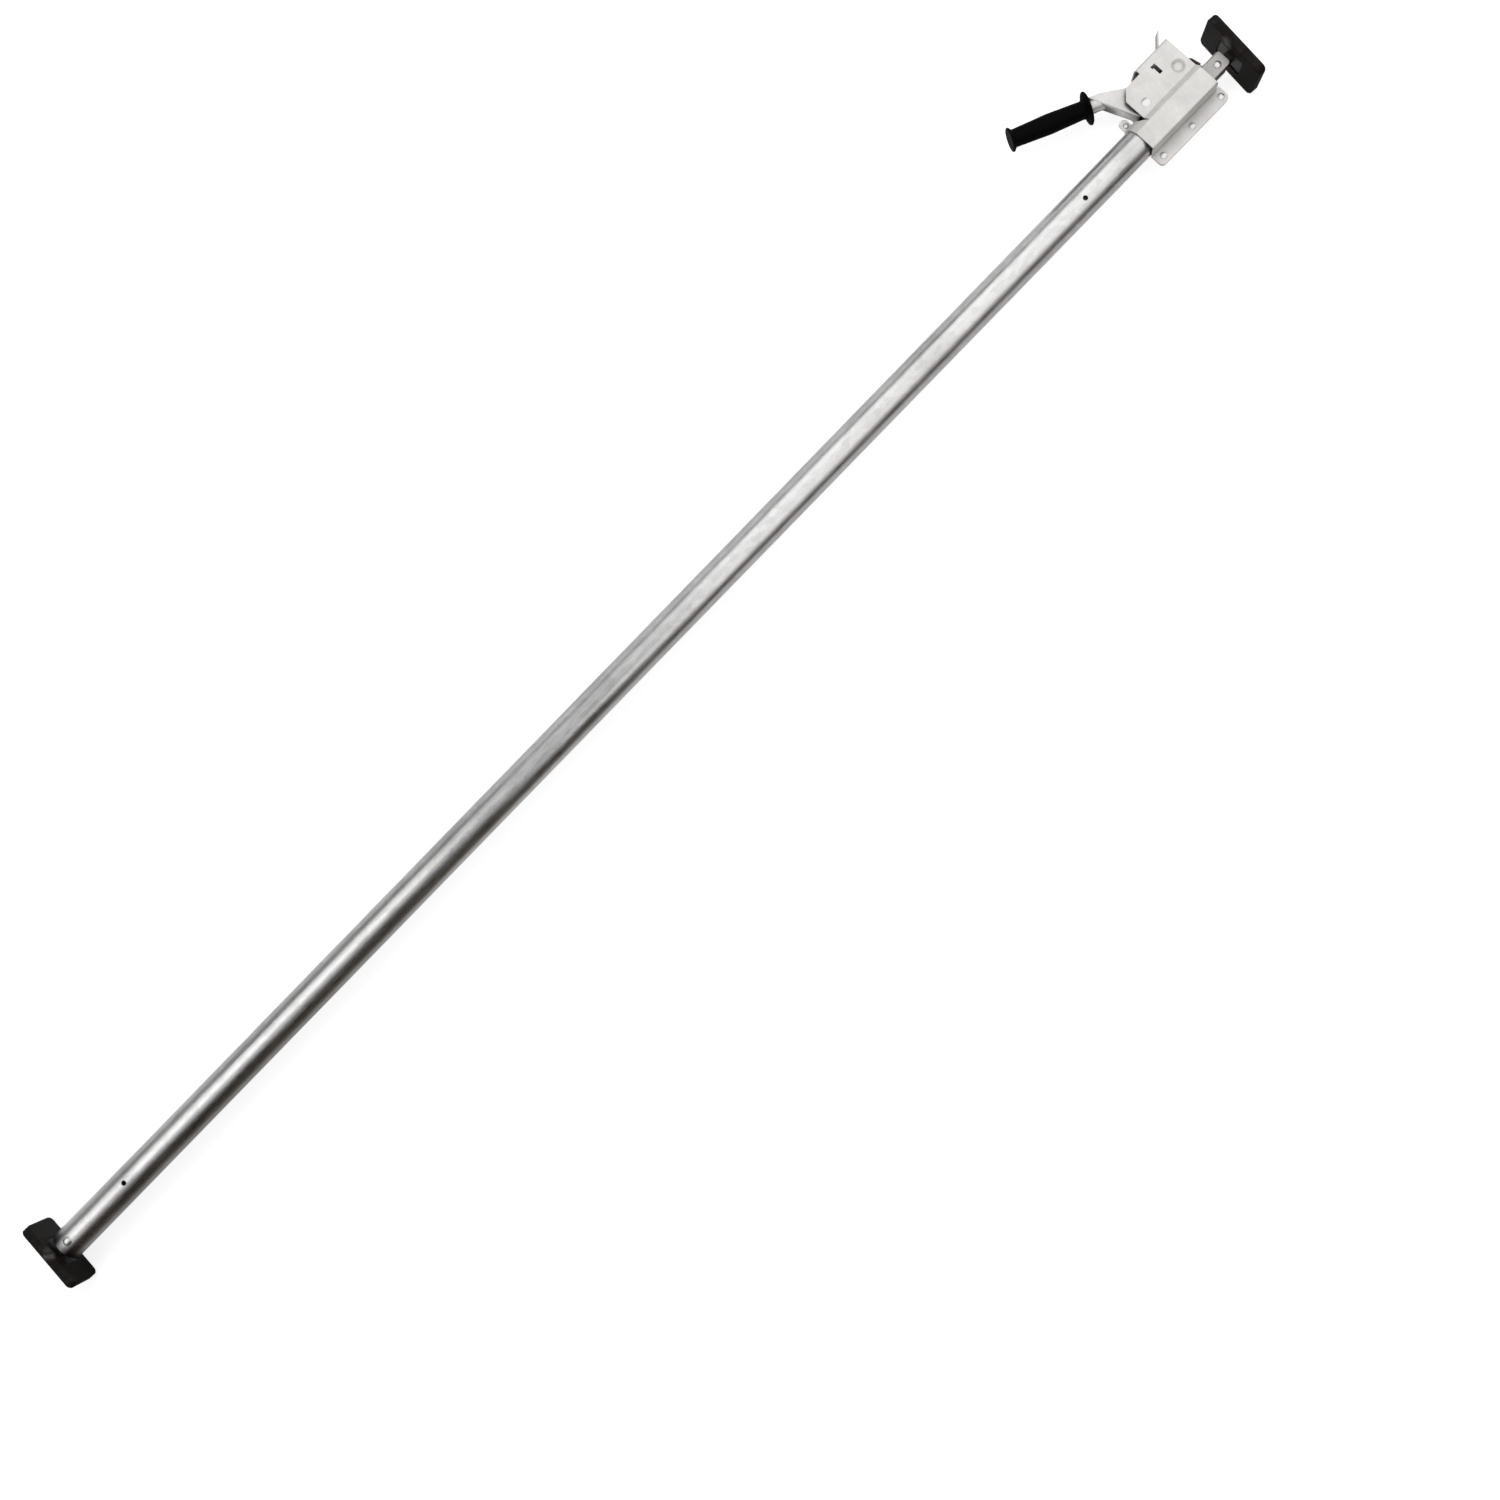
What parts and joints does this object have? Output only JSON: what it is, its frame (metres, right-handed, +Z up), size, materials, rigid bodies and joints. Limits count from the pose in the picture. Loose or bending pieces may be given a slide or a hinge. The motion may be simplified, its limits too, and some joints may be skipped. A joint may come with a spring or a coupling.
{
  "type": "ratcheting cargo bar",
  "caption": "Steel tube with hinged rubber feet; a rack slides out of a riveted jack housing worked by a lever with a rubber grip, a feed pawl, a holding pawl and a release tab.",
  "frame": {"origin": "where the tube's axis meets the tread face of the fixed foot, with the jack closed and the bar lying on its side", "axes": "+X runs along the tube from the fixed foot to the jack foot, +Y points from the tube to the handle, +Z is up, square to the handle's plane"},
  "size_m": [2.2669, 0.2014, 0.0634],
  "materials": {
    "galvanised_tube": "galvanised tube, drawn lengthwise, satin with faint mottling",
    "zinc_sheet": "pressed sheet, bright zinc plated, satin",
    "rack_steel": "rolled channel, zinc plated, slightly warm grey",
    "bright_rivets": "bright zinc-plated rivet heads",
    "zinc_pins": "plain zinc-plated pins and spacers",
    "bracket_steel": "black painted plate",
    "black_steel": "black oxide, slightly glossy",
    "spring_steel": "spring steel, lightly oiled",
    "pad_rubber": "moulded black rubber, matt, scuffed edges",
    "grip_rubber": "smooth black rubber grip, slightly glossy",
    "white_nylon": "natural nylon",
    "black_nylon": "black nylon"
  },
  "bodies": {
    "bar": {"main_tube": "galvanised_tube", "fixed_foot_rivet": "bright_rivets", "rack_mouth_bearing": "black_nylon", "housing_front": "zinc_sheet", "housing_back": "zinc_sheet", "flange_rivets": "bright_rivets", "clamp_ear_rivet": "bright_rivets", "handle_hinge_rivet": "bright_rivets", "hinge_washers": "zinc_pins", "holding_pawl_spring": "spring_steel"},
    "fixed_foot": {"fixed_foot_bracket": "bracket_steel", "fixed_foot_pad": "pad_rubber"},
    "rack": {"rack_channel": "rack_steel", "rack_guide": "white_nylon", "rack_guide_pin": "zinc_pins", "jack_foot_rivet": "bright_rivets"},
    "jack_foot": {"jack_foot_bracket": "bracket_steel", "jack_foot_pad": "pad_rubber"},
    "handle": {"handle_lever": "zinc_sheet", "handle_grip": "grip_rubber", "handle_hinge_spacer": "zinc_pins", "feed_pawl_pin": "zinc_pins", "feed_pawl_spring": "spring_steel"},
    "feed_pawl": {"feed_pawl": "black_steel"},
    "holding_pawl": {"holding_pawl": "black_steel", "release_tab": "zinc_sheet"}
  },
  "joints": [
    {"name": "fixed_foot_tilt", "type": "hinge", "parent": "bar", "child": "fixed_foot", "pos_m": [0.03603, 0, 0], "axis": [0, 0, 1], "range_deg": [-15, 20]},
    {"name": "rack_slide", "type": "slide", "parent": "bar", "child": "rack", "axis": [1, 0, 0], "range_m": [0, 0.381]},
    {"name": "jack_foot_tilt", "type": "hinge", "parent": "rack", "child": "jack_foot", "pos_m": [2.22448, -0.00368, 0], "axis": [0, 0, 1], "range_deg": [-9, 20]},
    {"name": "handle_swing", "type": "hinge", "parent": "bar", "child": "handle", "pos_m": [2.123, 0.02842, 0], "axis": [0, 0, -1], "range_deg": [0, 42]},
    {"name": "feed_pawl_pivot", "type": "hinge", "parent": "handle", "child": "feed_pawl", "pos_m": [2.12794, 0.01554, 0], "axis": [0, 0, -1], "range_deg": [-42, 0]},
    {"name": "holding_pawl_lift", "type": "hinge", "parent": "bar", "child": "holding_pawl", "pos_m": [2.1657, 0.0496, 0], "axis": [0, 0, 1], "range_deg": [-3, 6], "stiffness_Nm_per_rad": 0.5}
  ],
  "couplings": [
    {"joint": "feed_pawl_pivot", "follows": "handle_swing", "ratio": -1}
  ]
}
